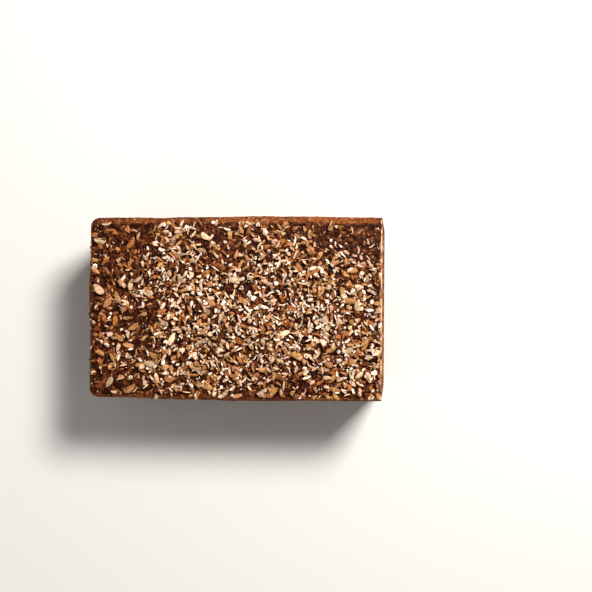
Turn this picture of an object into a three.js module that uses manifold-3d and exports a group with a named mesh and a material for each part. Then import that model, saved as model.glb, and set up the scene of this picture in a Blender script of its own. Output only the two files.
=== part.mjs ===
// A tin-baked rye loaf that has been started: one solid, shaped below by the tin and above by the risen
// dough. Its walls lean out as the tin's do, its long sides bow a little and its top is gently crowned. Its
// +X end is the flat face that the last slice left, which leans back a little, as a hand-held knife cuts.
// Millimetres. +X runs along the loaf to the cut face, +Y across it and +Z up. The origin is the middle of
// the loaf's footprint box, on the surface that it stands on.

import * as THREE from "three";
import { ParametricGeometry } from "three/addons/geometries/ParametricGeometry.js";
import { mergeVertices } from "three/addons/utils/BufferGeometryUtils.js";
import Module from "manifold-3d";

// Driving dimensions
const TOP_LENGTH = 166; // what is left along the top, from the baked end to the rim of the cut face
const SLICED_OFF = 84; // length that has been cut away, which makes up the tin's 250
const CUT_LEAN = THREE.MathUtils.degToRad(6); // how far the cut face leans back from upright
const BASE_WIDTH = 95.2; // across the tin's bottom, at its ends
const RIM_WIDTH = 103.2; // across the tin at the height that the dough reached, at its ends
const SIDE_BOW = 1.4; // how far each long wall bulges at the tin's middle
const WALL_HEIGHT = 64.5; // from the base to the top of the side crust
const CROWN_RISE = 2.5; // how far the middle of the top stands above the side crust
const CROWN_FLATNESS = 3; // power of the fall from the middle: 2 is a dome, and more is flatter
const TIN_CORNER_RADIUS = 4; // the tin's upright corners, in plan, at its bottom
const BASE_EDGE_RADIUS = 4; // where the bottom turns up into the walls
const SHOULDER_RADIUS = 4; // where the walls turn over into the top

// Smoothness of the faceted surface
const CORNER_STEPS = 8;
const LONG_SIDE_STEPS = 36;
const SHORT_SIDE_STEPS = 14;
const ARC_POINTS = 4;
const CROWN_RINGS = 12;

// Worked out from the sizes above
const WALL_LEAN = (RIM_WIDTH - BASE_WIDTH) / 2; // how far out a wall moves from the base to the rim
const DRAFT = Math.atan2(WALL_LEAN, WALL_HEIGHT);
const RIM_CORNER_RADIUS = TIN_CORNER_RADIUS + WALL_LEAN;
const BAKED_LENGTH = TOP_LENGTH + SLICED_OFF; // the whole loaf, as it left the tin
const FULL_HEIGHT = WALL_HEIGHT + CROWN_RISE;

/**
 * A wall in section, from the flat of the base to the edge of the top. Its x is reach, which is the distance
 * out from the core rectangle that the corner radii leave, and its y is height.
 */
function wallSection() {
  const baseRadius = Math.min(BASE_EDGE_RADIUS, TIN_CORNER_RADIUS);
  const shoulderRadius = Math.min(SHOULDER_RADIUS, RIM_CORNER_RADIUS);
  const baseCentre = TIN_CORNER_RADIUS - baseRadius * Math.tan(Math.PI / 4 - DRAFT / 2);
  const shoulderCentre = RIM_CORNER_RADIUS - shoulderRadius * Math.tan(Math.PI / 4 + DRAFT / 2);
  const section = new THREE.Path();
  section.absarc(baseCentre, baseRadius, baseRadius, -Math.PI / 2, -DRAFT);
  section.absarc(shoulderCentre, WALL_HEIGHT - shoulderRadius, shoulderRadius, -DRAFT, Math.PI / 2);
  return section.getPoints(ARC_POINTS);
}

/**
 * Stations anticlockwise round the tin's plan. Each has a root on the core rectangle and the way that the
 * wall faces there.
 */
function planStations(coreHalfLength, coreHalfWidth) {
  const corners = [
    { root: new THREE.Vector2(coreHalfLength, coreHalfWidth), sideSteps: LONG_SIDE_STEPS },
    { root: new THREE.Vector2(-coreHalfLength, coreHalfWidth), sideSteps: SHORT_SIDE_STEPS },
    { root: new THREE.Vector2(-coreHalfLength, -coreHalfWidth), sideSteps: LONG_SIDE_STEPS },
    { root: new THREE.Vector2(coreHalfLength, -coreHalfWidth), sideSteps: SHORT_SIDE_STEPS },
  ];
  const stations = [];
  corners.forEach(({ root, sideSteps }, quarter) => {
    const turn = (share) => new THREE.Vector2(1, 0).rotateAround(new THREE.Vector2(), share * 2 * Math.PI);
    for (let step = 0; step <= CORNER_STEPS; step++) {
      stations.push({ root, facing: turn((quarter + step / CORNER_STEPS) / corners.length) });
    }
    const nextRoot = corners[(quarter + 1) % corners.length].root;
    for (let step = 1; step < sideSteps; step++) {
      const along = root.clone().lerp(nextRoot, step / sideSteps);
      stations.push({ root: along, facing: turn((quarter + 1) / corners.length) });
    }
  });
  return stations;
}

/** Levels from the middle of the base, up the wall, to the middle of the top. */
function skinLevels(section) {
  const shoulder = section.at(-1);
  const levels = section.map((point) => ({ reach: point.x, spread: 1, height: point.y }));
  for (let ring = 1; ring <= CROWN_RINGS; ring++) {
    const spread = 1 - ring / CROWN_RINGS;
    const height = WALL_HEIGHT + CROWN_RISE * (1 - spread ** CROWN_FLATNESS);
    levels.push({ reach: shoulder.x, spread, height });
  }
  return [{ reach: 0, spread: 0, height: 0 }, ...levels];
}

/** The sideways bulge of the long walls at a distance along the tin from its middle. */
function bowAt(x) {
  const share = Math.min(1, Math.abs(x) / (BAKED_LENGTH / 2));
  return SIDE_BOW * (1 - share * share);
}

/** The whole loaf as it left the tin, centred on the origin in plan. */
function bakedLoaf() {
  const section = wallSection();
  const widestReach = Math.max(...section.map((point) => point.x));
  const levels = skinLevels(section);
  const stations = planStations(BAKED_LENGTH / 2 - widestReach, BASE_WIDTH / 2 - TIN_CORNER_RADIUS);
  const stacks = levels.length - 1;
  const slices = stations.length;
  const skin = (u, v, target) => {
    const { root, facing } = stations[Math.round(u * slices) % slices];
    const { reach, spread, height } = levels[Math.round(v * stacks)];
    const x = root.x + facing.x * reach;
    const y = root.y + facing.y * reach;
    target.set(x * spread, (y + Math.sign(y) * bowAt(x)) * spread, height);
  };
  return new ParametricGeometry(skin, slices, stacks);
}

/** The block of space past the cut face, which takes away the slices that are gone. */
function slicedAway() {
  const block = new THREE.BoxGeometry(BAKED_LENGTH, 2 * RIM_WIDTH, 4 * FULL_HEIGHT);
  block.translate(BAKED_LENGTH / 2, 0, 0);
  block.rotateY(-CUT_LEAN);
  block.translate(TOP_LENGTH - BAKED_LENGTH / 2, 0, FULL_HEIGHT);
  return block;
}

const wasm = await Module();
wasm.setup();

/** A closed three.js geometry as a manifold-3d solid. */
function toSolid(geometry) {
  const bare = geometry.clone();
  bare.deleteAttribute("normal");
  bare.deleteAttribute("uv");
  const merged = mergeVertices(bare);
  return new wasm.Manifold(
    new wasm.Mesh({
      numProp: 3,
      vertProperties: merged.getAttribute("position").array,
      triVerts: new Uint32Array(merged.index.array),
    }),
  );
}

/** A manifold-3d solid as a flat-shaded three.js geometry. */
function toGeometry(solid) {
  const mesh = solid.getMesh();
  const welded = new THREE.BufferGeometry();
  welded.setAttribute("position", new THREE.BufferAttribute(mesh.vertProperties, 3));
  welded.setIndex(new THREE.BufferAttribute(mesh.triVerts, 1));
  const faceted = welded.toNonIndexed();
  faceted.computeVertexNormals();
  return faceted;
}

const loaf = new THREE.Mesh(
  toGeometry(toSolid(bakedLoaf()).subtract(toSolid(slicedAway()))),
  new THREE.MeshStandardMaterial({ color: 0x87573a, roughness: 0.85, metalness: 0 }),
);
loaf.name = "loaf";
loaf.geometry.computeBoundingBox();
loaf.position.x = -loaf.geometry.boundingBox.getCenter(new THREE.Vector3()).x;

const part = new THREE.Group();
part.add(loaf);

export default part;
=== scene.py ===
"""Dresses a packed tin-baked rye loaf: its crust, its cut crumb and the grain pressed into its top.

Lengths are in metres, in the frame's axes: +X along the loaf to the cut face, +Y across it and +Z up.
"""

import logging
import math
from dataclasses import dataclass
from enum import Enum
from itertools import product

import bmesh
import bpy
import numpy as np
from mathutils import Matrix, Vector


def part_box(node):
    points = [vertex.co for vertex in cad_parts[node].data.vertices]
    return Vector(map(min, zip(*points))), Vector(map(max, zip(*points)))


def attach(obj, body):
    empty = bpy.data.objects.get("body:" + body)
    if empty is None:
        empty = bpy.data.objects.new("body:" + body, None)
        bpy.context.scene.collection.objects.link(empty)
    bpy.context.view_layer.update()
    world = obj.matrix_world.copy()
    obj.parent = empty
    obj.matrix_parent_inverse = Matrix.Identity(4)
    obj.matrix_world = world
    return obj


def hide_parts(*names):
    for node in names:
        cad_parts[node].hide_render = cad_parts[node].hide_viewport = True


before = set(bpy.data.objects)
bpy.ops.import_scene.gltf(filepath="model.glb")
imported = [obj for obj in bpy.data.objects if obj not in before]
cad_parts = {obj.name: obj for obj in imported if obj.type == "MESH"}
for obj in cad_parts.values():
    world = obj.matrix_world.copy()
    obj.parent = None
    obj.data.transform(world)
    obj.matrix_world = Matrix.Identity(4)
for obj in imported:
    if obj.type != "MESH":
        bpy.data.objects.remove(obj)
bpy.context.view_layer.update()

LOG = logging.getLogger("tin_loaf")
MM = 0.001
BODY = "root"

Colour = tuple[float, float, float, float]
Array = np.ndarray
Piece = bpy.types.Object
Node = bpy.types.Node
Socket = bpy.types.NodeSocket
Tree = bpy.types.NodeTree
Faces = list[Array]
Arrays = tuple[Array, Array, Array]
Place = tuple[float, float, float]


def linear(red: int, green: int, blue: int) -> Colour:
    """Turns an everyday colour into the linear one that a shader takes.

    Args:
        red: Red from 0 to 255.
        green: Green from 0 to 255.
        blue: Blue from 0 to 255.

    Returns:
        The linear colour, opaque.
    """
    shares = [channel / 255 for channel in (red, green, blue)]
    bent = [s / 12.92 if s <= 0.04045 else ((s + 0.055) / 1.055) ** 2.4 for s in shares]
    return (bent[0], bent[1], bent[2], 1.0)


def ramp(value: Array, start: float, end: float) -> Array:
    """Rises smoothly from 0 at start to 1 at end, or falls where start is the larger.

    Args:
        value: The values to grade.
        start: Where the result is 0.
        end: Where the result is 1.

    Returns:
        The graded values.
    """
    share = np.clip((value - start) / (end - start), 0, 1)
    return share * share * (3 - 2 * share)


# Repeatable noise over points


def hashed(cells: Array, seed: int) -> Array:
    """Gives each lattice cell a repeatable random number.

    Args:
        cells: Whole-number cells, one row each.
        seed: Which of the many random fields to read.

    Returns:
        A number from 0 to 1 for each row.
    """
    mixed = (cells[:, 0] * 73856093) ^ (cells[:, 1] * 19349663) ^ (cells[:, 2] * 83492791)
    mixed = (mixed ^ (seed * 40503)) & 0xFFFFFFFF
    for _ in range(2):
        mixed = ((mixed ^ (mixed >> 15)) * 0x2C1B3C6D) & 0xFFFFFFFF
    return ((mixed ^ (mixed >> 13)) & 0xFFFFFF) / 0xFFFFFF


def smooth_noise(points: Array, cell: float, seed: int) -> Array:
    """Reads soft noise that changes over one cell.

    Args:
        points: Places, one row each.
        cell: Size of one cell.
        seed: Which field to read.

    Returns:
        A value from -1 to 1 for each point.
    """
    scaled = points / cell + 31.7
    corner = np.floor(scaled).astype(np.int64)
    share = scaled - corner
    share = share * share * (3 - 2 * share)
    total = np.zeros(len(points))
    for step in product((0, 1), repeat=3):
        weight = np.prod(np.where(step, share, 1 - share), axis=1)
        total += weight * hashed(corner + np.array(step), seed)
    return 2 * total - 1


def layered_noise(points: Array, cell: float, seed: int, layers: int = 3) -> Array:
    """Adds layers of soft noise, each half the size and strength of the one before.

    Args:
        points: Places, one row each.
        cell: Size of the coarsest cell.
        seed: Which field to read.
        layers: How many layers.

    Returns:
        A value of about -1 to 1 for each point.
    """
    total = np.zeros(len(points))
    for layer in range(layers):
        total += smooth_noise(points, cell / 2**layer, seed + layer) / 2**layer
    return total / (2 - 2 ** (1 - layers))


def nearest_grain(points: Array, cell: float, seed: int) -> tuple[Array, Array]:
    """Finds the nearest of many scattered centres, one in each cell.

    Args:
        points: Places, one row each.
        cell: Size of one cell.
        seed: Which scatter to read.

    Returns:
        The distance to the nearest centre, in cells, and that centre's own random number.
    """
    scaled = points / cell + 17.3
    home = np.floor(scaled).astype(np.int64)
    best = np.full(len(points), 9.0)
    owner = np.zeros(len(points))
    for step in product((-1, 0, 1), repeat=3):
        cells = home + np.array(step)
        jitter = np.stack([hashed(cells, seed + axis) for axis in (1, 2, 3)], axis=1)
        distance = np.linalg.norm(cells + jitter - scaled, axis=1)
        closer = distance < best
        best = np.where(closer, distance, best)
        owner = np.where(closer, hashed(cells, seed), owner)
    return best, owner


# Meshes


def build_object(name: str, points: Array, faces: Faces, smooth: bool) -> Piece:
    """Makes a mesh object and links it to the scene.

    Args:
        name: The piece's name.
        points: Vertex places, one row each.
        faces: Arrays of vertex numbers, each of one face size.
        smooth: Whether the faces are shaded smooth.

    Returns:
        The new object.
    """
    mesh = bpy.data.meshes.new(name)
    sizes = np.concatenate([np.full(len(group), group.shape[1]) for group in faces])
    corners = np.concatenate([group.ravel() for group in faces]).astype(np.int32)
    mesh.vertices.add(len(points))
    mesh.vertices.foreach_set("co", points.astype(np.float32).ravel())
    mesh.loops.add(len(corners))
    mesh.loops.foreach_set("vertex_index", corners)
    mesh.polygons.add(len(sizes))
    mesh.polygons.foreach_set("loop_start", (np.cumsum(sizes) - sizes).astype(np.int32))
    mesh.polygons.foreach_set("use_smooth", np.full(len(sizes), smooth))
    mesh.update(calc_edges=True)
    mesh.validate()
    piece = bpy.data.objects.new(name, mesh)
    bpy.context.scene.collection.objects.link(piece)
    return piece


def set_values(piece: Piece, name: str, values: Array) -> None:
    """Stores one number on each vertex, for the material to read.

    Args:
        piece: The mesh object.
        name: The attribute's name.
        values: One number for each vertex.
    """
    attribute = piece.data.attributes.new(name, "FLOAT", "POINT")
    attribute.data.foreach_set("value", values.astype(np.float32))


def set_colours(piece: Piece, name: str, colours: Array) -> None:
    """Stores one colour on each vertex, for the material to read.

    Args:
        piece: The mesh object.
        name: The attribute's name.
        colours: Linear red, green and blue, one row for each vertex.
    """
    attribute = piece.data.attributes.new(name, "FLOAT_COLOR", "POINT")
    opaque = np.column_stack([colours, np.ones(len(colours))])
    attribute.data.foreach_set("color", opaque.astype(np.float32).ravel())


def vertex_normals(points: Array, faces: Faces) -> Array:
    """Works out which way a surface faces at each of its vertices.

    Args:
        points: Vertex places, one row each.
        faces: Arrays of vertex numbers.

    Returns:
        Unit normals, one row for each vertex.
    """
    total = np.zeros_like(points)
    for group in faces:
        across = points[group[:, 2]] - points[group[:, 0]]
        along = points[group[:, -1]] - points[group[:, 1]]
        normal = np.cross(across, along)
        for corner in range(group.shape[1]):
            np.add.at(total, group[:, corner], normal)
    return total / np.maximum(np.linalg.norm(total, axis=1, keepdims=True), 1e-12)


@dataclass(frozen=True)
class BoxSkin:
    """The skin of a box that is divided along each axis, with its edges shared.

    Attributes:
        xs: Places of the divisions along X.
        ys: Places of the divisions along Y.
        zs: Places of the divisions along Z.
    """

    xs: Array
    ys: Array
    zs: Array

    def build(self) -> tuple[Array, Faces]:
        """Makes the skin's points and its outward faces.

        Returns:
            The points and the faces.
        """
        shape = (len(self.xs), len(self.ys), len(self.zs))
        skin = np.zeros(shape, bool)
        for axis in range(3):
            ends = np.moveaxis(skin, axis, 0)
            ends[0] = ends[-1] = True
        number = np.full(shape, -1)
        number[skin] = np.arange(skin.sum())
        i, j, k = np.nonzero(skin)
        points = np.stack([self.xs[i], self.ys[j], self.zs[k]], axis=1)
        upper = [number[-1], number[:, 0], number[:, :, -1]]
        lower = [number[0].T, number[:, -1].T, number[:, :, 0].T]
        sheets = [sheet for pair in zip(upper, lower) for sheet in pair]
        return points, [self.quads(sheet) for sheet in sheets]

    @staticmethod
    def quads(sheet: Array) -> Array:
        """Joins a grid of vertex numbers into faces, anticlockwise from its first axis to its second."""
        corners = [sheet[:-1, :-1], sheet[1:, :-1], sheet[1:, 1:], sheet[:-1, 1:]]
        return np.stack(corners, axis=-1).reshape(-1, 4)


# The loaf's form


@dataclass(frozen=True)
class LoafForm:
    """The loaf's shape without its roughness: tin walls below, a low crown above and one cut end.

    Attributes:
        low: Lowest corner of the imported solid.
        high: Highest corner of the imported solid.
        cut_lean: How far the cut face leans back from upright.
        wall_lean: How far each wall moves out from the base to the rim.
        side_bow: How far the long walls bulge at the tin's middle.
        tin_length: Length of the whole loaf before it was sliced.
        crown_rise: How far the middle of the top stands above the walls.
        corner_radius: The upright corners of the baked end, in plan.
        shoulder_radius: Where the walls turn over into the top.
        base_radius: Where the bottom turns up into the walls.
        settle: How far the crust lies below the solid's top, which leaves room for the grain.
    """

    low: Vector
    high: Vector
    cut_lean: float = math.radians(6)
    wall_lean: float = 4.0 * MM
    side_bow: float = 1.4 * MM
    tin_length: float = 250 * MM
    crown_rise: float = 2.5 * MM
    corner_radius: float = 5.5 * MM
    shoulder_radius: float = 4.0 * MM
    base_radius: float = 4.8 * MM
    settle: float = 2.0 * MM

    @property
    def wall_height(self) -> float:
        """Height of the side crust."""
        return self.high.z - self.crown_rise - self.settle

    @property
    def length(self) -> float:
        """Length halfway up the walls."""
        middle = self.wall_height / 2
        return float(self.cut_at(middle) - self.end_at(middle))

    @property
    def half(self) -> float:
        """Half the width halfway up the walls, at the tin's ends."""
        return self.high.y - self.side_bow - self.wall_lean / 2

    def cut_at(self, z: Array | float) -> Array | float:
        """Where the cut plane is along X, at a height."""
        return self.high.x - z * math.tan(self.cut_lean)

    def end_at(self, z: Array | float) -> Array | float:
        """Where the baked end's wall is along X, at a height."""
        return self.low.x + self.wall_lean * (1 - np.clip(z / self.wall_height, 0, 1))

    def half_at(self, x: Array | float, z: Array | float) -> Array | float:
        """Half the loaf's width, with the walls' lean and the sides' bow.

        Args:
            x: Places along the loaf.
            z: Heights.

        Returns:
            The half width at each place.
        """
        from_middle = np.abs(x - self.low.x - self.tin_length / 2) / (self.tin_length / 2)
        bow = self.side_bow * (1 - np.clip(from_middle, 0, 1) ** 2)
        return self.half + bow + self.wall_lean * (np.clip(z / self.wall_height, 0, 1) - 0.5)

    def depth_in(self, box: Array) -> Array:
        """How far points of the sharp-edged box are in from its sides, its base and its top."""
        to_top = np.minimum(box[:, 2], self.wall_height - box[:, 2])
        return np.minimum(self.half - np.abs(box[:, 1]), to_top)

    def crown_at(self, x: Array, share_across: Array) -> Array:
        """How far the top stands above the side crust.

        Args:
            x: Distance in from the baked end.
            share_across: Distance out from the middle line, as a share of half the width.

        Returns:
            The rise at each place.
        """
        lengthwise = 1 - (1 - np.clip(x / (60 * MM), 0, 1)) ** 3
        return self.crown_rise * lengthwise * (1 - np.clip(np.abs(share_across), 0, 1) ** 3)

    @staticmethod
    def round_edge(inset: Array, depth: Array, radius: float) -> tuple[Array, Array]:
        """Rounds the square edge where two faces meet.

        Args:
            inset: Distance in from one face.
            depth: Distance in from the other face.
            radius: The edge's radius.

        Returns:
            The two distances after rounding.
        """
        over_a = np.maximum(0, radius - inset)
        over_b = np.maximum(0, radius - depth)
        pull = np.maximum(over_a, over_b) / np.maximum(np.hypot(over_a, over_b), 1e-9)
        rounded_inset = np.where(over_a > 0, radius - over_a * pull, inset)
        rounded_depth = np.where(over_b > 0, radius - over_b * pull, depth)
        return rounded_inset, rounded_depth

    def wrap(self, box: Array) -> Array:
        """Moves points of a sharp-edged box onto the loaf.

        Args:
            box: Points from (0, -half, 0) at the baked end to (length, half, wall_height) at the cut.

        Returns:
            The points on the loaf.
        """
        x, y, z = box.T
        radius = self.corner_radius
        over_x = np.maximum(0, radius - x)
        over_y = np.maximum(0, np.abs(y) - (self.half - radius))
        size = np.maximum(np.hypot(over_x, over_y), 1e-9)
        inset = radius - np.maximum(over_x, over_y)
        inset, below = self.round_edge(inset, self.wall_height - z, self.shoulder_radius)
        inset, z = self.round_edge(inset, self.wall_height - below, self.base_radius)
        reach = radius - inset
        x = np.where(over_x > 0, radius - over_x / size * reach, x)
        across = np.where(over_y > 0, self.half - radius + over_y / size * reach, np.abs(y))
        rise = self.crown_at(x, across / self.half) * (z / self.wall_height) ** 2
        placed_x = self.end_at(z) + (self.cut_at(z) - self.end_at(z)) * x / self.length
        placed_y = np.sign(y) * across / self.half * self.half_at(placed_x, z)
        return np.stack([placed_x, placed_y, z + rise], axis=1)

    def edge_distance(self, x: Array, y: Array) -> Array:
        """How far a place on the top is from the nearest baked edge.

        Args:
            x: Places along the loaf.
            y: Places across it.

        Returns:
            The distance at each place, which is negative outside the loaf.
        """
        to_side = self.half_at(x, self.wall_height) - np.abs(y)
        to_end = x - self.end_at(self.wall_height)
        radius = self.corner_radius
        over = np.hypot(np.maximum(0, radius - to_side), np.maximum(0, radius - to_end))
        return np.where(over > 0, radius - over, np.minimum(to_side, to_end))

    def top_at(self, x: Array, y: Array) -> Array:
        """Height of the smooth top, without the crust's roughness.

        Args:
            x: Places along the loaf.
            y: Places across it.

        Returns:
            The height at each place.
        """
        across = y / self.half_at(x, self.wall_height)
        rise = self.crown_at(x - self.end_at(self.wall_height), across)
        drop = np.maximum(0, self.shoulder_radius - self.edge_distance(x, y))
        fall = self.shoulder_radius - np.sqrt(np.maximum(self.shoulder_radius**2 - drop**2, 0))
        return self.wall_height + rise - fall


# Node tools and the effects that several finishes share


class Graph:
    """A short way to add and join the nodes of one material or group."""

    def __init__(self, tree: Tree) -> None:
        """Keeps the tree that the nodes go into."""
        self.tree = tree

    def add(self, kind: str, inputs: dict | None = None, **settings: object) -> Node:
        """Adds a node.

        Args:
            kind: The node's type name, without its ShaderNode prefix.
            inputs: Socket name or number to a value, or to a socket to join it to.
            **settings: The node's own properties.

        Returns:
            The new node.
        """
        node = self.tree.nodes.new("ShaderNode" + kind)
        for name, value in settings.items():
            setattr(node, name, value)
        for key, value in (inputs or {}).items():
            self.feed(node.inputs[key], value)
        return node

    def feed(self, socket: Socket, value: object) -> None:
        """Sets a socket's value, or joins it to another socket.

        Args:
            socket: The socket to feed.
            value: A value, or the socket to join it to.
        """
        if isinstance(value, Socket):
            self.tree.links.new(value, socket)
        else:
            socket.default_value = value

    def math(self, operation: str, *values: object) -> Socket:
        """Adds a Math node and returns its result."""
        inputs = dict(enumerate(values))
        return self.add("Math", inputs, operation=operation).outputs[0]

    def mix(self, share: object, first: object, second: object, blend: str = "MIX") -> Socket:
        """Mixes two colours.

        Args:
            share: How much of the second colour shows.
            first: The first colour.
            second: The second colour.
            blend: How the second colour goes over the first.

        Returns:
            The mixed colour.
        """
        node = self.add("Mix", data_type="RGBA", blend_type=blend)
        sockets = [node.inputs[0], node.inputs[6], node.inputs[7]]
        for socket, value in zip(sockets, (share, first, second)):
            self.feed(socket, value)
        return node.outputs[2]

    def grade(self, value: object, start: float, end: float, low: float = 0.0, high: float = 1.0) -> Socket:
        """Maps start to low and end to high, smoothly, and holds the value there beyond them.

        Args:
            value: The value to map.
            start: The value that gives low.
            end: The value that gives high.
            low: The result at start.
            high: The result at end.

        Returns:
            The mapped value.
        """
        inputs = {"Value": value, "From Min": start, "From Max": end, "To Min": low, "To Max": high}
        return self.add("MapRange", inputs, interpolation_type="SMOOTHSTEP").outputs["Result"]

    def attribute(self, name: str, output: str = "Fac") -> Socket:
        """Reads what a mesh stores on its vertices."""
        return self.add("Attribute", attribute_name=name).outputs[output]

    def place(self) -> Socket:
        """Reads the place on the object, in metres."""
        return self.add("TexCoord").outputs["Object"]

    def group(self, tree: Tree, **inputs: object) -> Node:
        """Places a shared effect.

        Args:
            tree: The effect's node group.
            **inputs: Its inputs by name, with underscores for spaces.

        Returns:
            The group node.
        """
        node = self.add("Group", node_tree=tree)
        for name, value in inputs.items():
            self.feed(node.inputs[name.replace("_", " ")], value)
        return node


class Effects:
    """The node groups that more than one finish uses, each built once."""

    def __init__(self) -> None:
        """Builds every group."""
        self.mottle = self.build_mottle()
        self.flecks = self.build_flecks()
        self.relief = self.build_relief()

    @staticmethod
    def start(name: str, numbers: dict[str, float], outputs: list[str]) -> tuple[Graph, Node, Node]:
        """Starts a group with a Place input, number inputs and number outputs.

        Args:
            name: The group's name.
            numbers: Input names and their defaults.
            outputs: Output names.

        Returns:
            The graph, its input node and its output node.
        """
        tree = bpy.data.node_groups.new(name, "ShaderNodeTree")
        tree.interface.new_socket("Place", in_out="INPUT", socket_type="NodeSocketVector")
        for label, default in numbers.items():
            socket = tree.interface.new_socket(label, in_out="INPUT", socket_type="NodeSocketFloat")
            socket.default_value = default
        for label in outputs:
            tree.interface.new_socket(label, in_out="OUTPUT", socket_type="NodeSocketFloat")
        source = tree.nodes.new("NodeGroupInput")
        sink = tree.nodes.new("NodeGroupOutput")
        return Graph(tree), source, sink

    def build_mottle(self) -> Tree:
        """Makes uneven browning: soft patches that break up into smaller ones.

        Returns:
            The node group.
        """
        graph, source, sink = self.start("uneven_browning", {"Patch Size": 0.01, "Contrast": 1.0}, ["Share"])
        scale = graph.math("DIVIDE", 1.0, source.outputs["Patch Size"])
        inputs = {"Vector": source.outputs["Place"], "Scale": scale, "Detail": 6.0, "Roughness": 0.62}
        cloud = graph.add("TexNoise", inputs)
        centred = graph.math("SUBTRACT", cloud.outputs[0], 0.5)
        spread = graph.math("MULTIPLY", centred, source.outputs["Contrast"])
        share = graph.add("Clamp", {"Value": graph.math("ADD", spread, 0.5)})
        graph.feed(sink.inputs["Share"], share.outputs[0])
        return graph.tree

    def build_flecks(self) -> Tree:
        """Makes scattered flecks, each with a tone of its own.

        Returns:
            The node group.
        """
        numbers = {"Spacing": 0.002, "Cover": 0.3, "Softness": 0.08}
        graph, source, sink = self.start("scattered_flecks", numbers, ["Mask", "Tone", "Distance"])
        scale = graph.math("DIVIDE", 1.0, source.outputs["Spacing"])
        cells = graph.add("TexVoronoi", {"Vector": source.outputs["Place"], "Scale": scale})
        tone = graph.add("SeparateColor", {0: cells.outputs["Color"]})
        size = graph.math("MULTIPLY", source.outputs["Cover"], graph.math("ADD", tone.outputs[1], 0.5))
        gap = graph.math("SUBTRACT", size, cells.outputs["Distance"])
        mask = graph.math("DIVIDE", gap, source.outputs["Softness"])
        graph.feed(sink.inputs["Mask"], graph.add("Clamp", {"Value": mask}).outputs[0])
        graph.feed(sink.inputs["Tone"], tone.outputs[0])
        graph.feed(sink.inputs["Distance"], cells.outputs["Distance"])
        return graph.tree

    def build_relief(self) -> Tree:
        """Makes a gritty surface height from lumps, grains and fine grit.

        Returns:
            The node group.
        """
        numbers = {"Lump Size": 0.003, "Grain Size": 0.001, "Grain Share": 0.5}
        graph, source, sink = self.start("gritty_relief", numbers, ["Height"])
        place = source.outputs["Place"]
        lump_scale = graph.math("DIVIDE", 1.0, source.outputs["Lump Size"])
        grain_scale = graph.math("DIVIDE", 1.0, source.outputs["Grain Size"])
        lumps = graph.add("TexNoise", {"Vector": place, "Scale": lump_scale, "Detail": 4.0})
        inputs = {"Vector": place, "Scale": grain_scale, "Smoothness": 0.4}
        grains = graph.add("TexVoronoi", inputs, feature="SMOOTH_F1")
        bumps = graph.math("SUBTRACT", 1.0, grains.outputs["Distance"])
        rise = graph.math("MULTIPLY", bumps, source.outputs["Grain Share"])
        graph.feed(sink.inputs["Height"], graph.math("ADD", lumps.outputs[0], rise))
        return graph.tree


def start_material(name: str) -> tuple[bpy.types.Material, Graph, Node]:
    """Starts a material with one shader.

    Args:
        name: The material's name.

    Returns:
        The material, its graph and its Principled shader.
    """
    material = bpy.data.materials.new(name)
    material.use_nodes = True
    return material, Graph(material.node_tree), material.node_tree.nodes["Principled BSDF"]


def add_bump(graph: Graph, shader: Node, height: Socket, distance: float, strength: float) -> None:
    """Bumps a shader's surface.

    Args:
        graph: The material's graph.
        shader: Its Principled shader.
        height: The height to read.
        distance: Depth that a height of 1 stands for.
        strength: Share of the effect.
    """
    inputs = {"Strength": strength, "Distance": distance, "Height": height}
    graph.feed(shader.inputs["Normal"], graph.add("Bump", inputs).outputs[0])


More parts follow.
